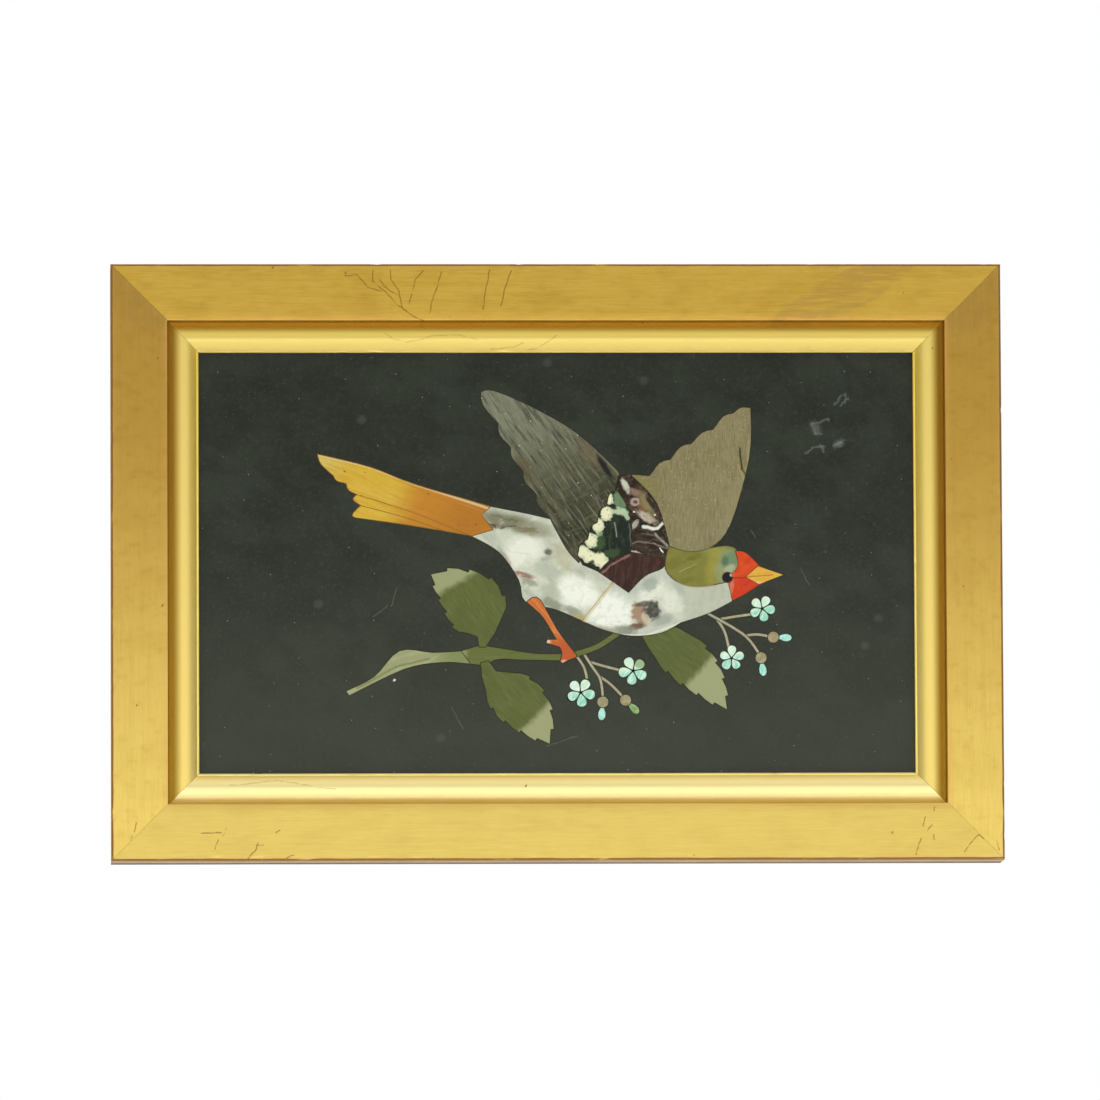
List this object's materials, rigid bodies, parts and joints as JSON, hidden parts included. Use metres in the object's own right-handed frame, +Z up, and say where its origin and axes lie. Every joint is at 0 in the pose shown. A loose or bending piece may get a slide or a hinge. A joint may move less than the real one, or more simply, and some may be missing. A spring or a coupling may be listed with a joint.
{
  "type": "inlaid stone panel",
  "caption": "Framed stone inlay panel: a bird over a flowering spray, cut from coloured stones and set flush in black marble, in a gilt wooden frame that hangs on a wall.",
  "frame": {"origin": "on the flat back of the frame's top rail, at the middle of its length and width", "axes": "+Z up, +X to the right of someone who looks at the picture, +Y into the wall, so the picture faces -Y"},
  "size_m": [0.3208, 0.022, 0.2152],
  "materials": {
    "gilt_face": "matt gold leaf over reddish brown bole, worn along the edges",
    "gilt_slip": "burnished gold leaf",
    "black_marble": "polished, greenish black, finely speckled",
    "yellow_stone": "polished yellow to orange stone, grained lengthwise",
    "white_chalcedony": "polished cloudy chalcedony, grey to cream",
    "grey_streaked_stone": "polished, streaked grey-green",
    "olive_grained_stone": "polished, olive brown with a fibrous grain",
    "green_breccia": "polished, dark green with pale flecks and a cream border",
    "veined_purple_stone": "polished, dark purple with curling pale veins",
    "maroon_stone": "polished, dark maroon",
    "olive_stone": "polished, olive with amber and grey-green bands",
    "red_stone": "polished orange red",
    "beak_stone": "polished pale yellow",
    "black_stone": "high polish, black",
    "orange_stone": "polished orange, redder towards the foot",
    "pale_green_stone": "polished pale grey-green",
    "leaf_stone": "polished olive green with paler tips",
    "twig_stone": "polished, pale grey-brown",
    "mint_stone": "polished, cream to turquoise",
    "calyx_stone": "polished, brown"
  },
  "bodies": {
    "root": {"frame_rail_top": "gilt_face", "frame_rail_bottom": "gilt_face", "frame_rail_left": "gilt_face", "frame_rail_right": "gilt_face", "slip_rail_top": "gilt_slip", "slip_rail_bottom": "gilt_slip", "slip_rail_left": "gilt_slip", "slip_rail_right": "gilt_slip", "ground_slab": "black_marble", "tail_feather_upper": "yellow_stone", "tail_feather_middle": "yellow_stone", "tail_feather_lower": "yellow_stone", "body_rear": "white_chalcedony", "breast": "white_chalcedony", "wing_left": "grey_streaked_stone", "wing_right": "olive_grained_stone", "shoulder_green": "green_breccia", "shoulder_veined": "veined_purple_stone", "shoulder_maroon": "maroon_stone", "nape": "olive_stone", "face_upper": "red_stone", "face_lower": "red_stone", "beak": "beak_stone", "eye": "black_stone", "leg": "orange_stone", "branch_end": "pale_green_stone", "branch_stem": "leaf_stone", "branch_far": "leaf_stone", "leaf_upper": "leaf_stone", "leaf_lower": "leaf_stone", "leaf_right": "leaf_stone", "twig_1": "twig_stone", "twig_2": "twig_stone", "twig_3": "twig_stone", "twig_4": "twig_stone", "twig_5": "twig_stone", "twig_6": "twig_stone", "twig_7": "twig_stone", "twig_8": "twig_stone", "flower_1": "mint_stone", "flower_2": "mint_stone", "flower_3": "mint_stone", "flower_4": "mint_stone", "bud_1": "mint_stone", "bud_2": "mint_stone", "bud_3": "mint_stone", "bud_4": "mint_stone", "calyx_1": "calyx_stone", "calyx_2": "calyx_stone", "calyx_3": "calyx_stone", "calyx_4": "calyx_stone"}
  },
  "joints": []
}
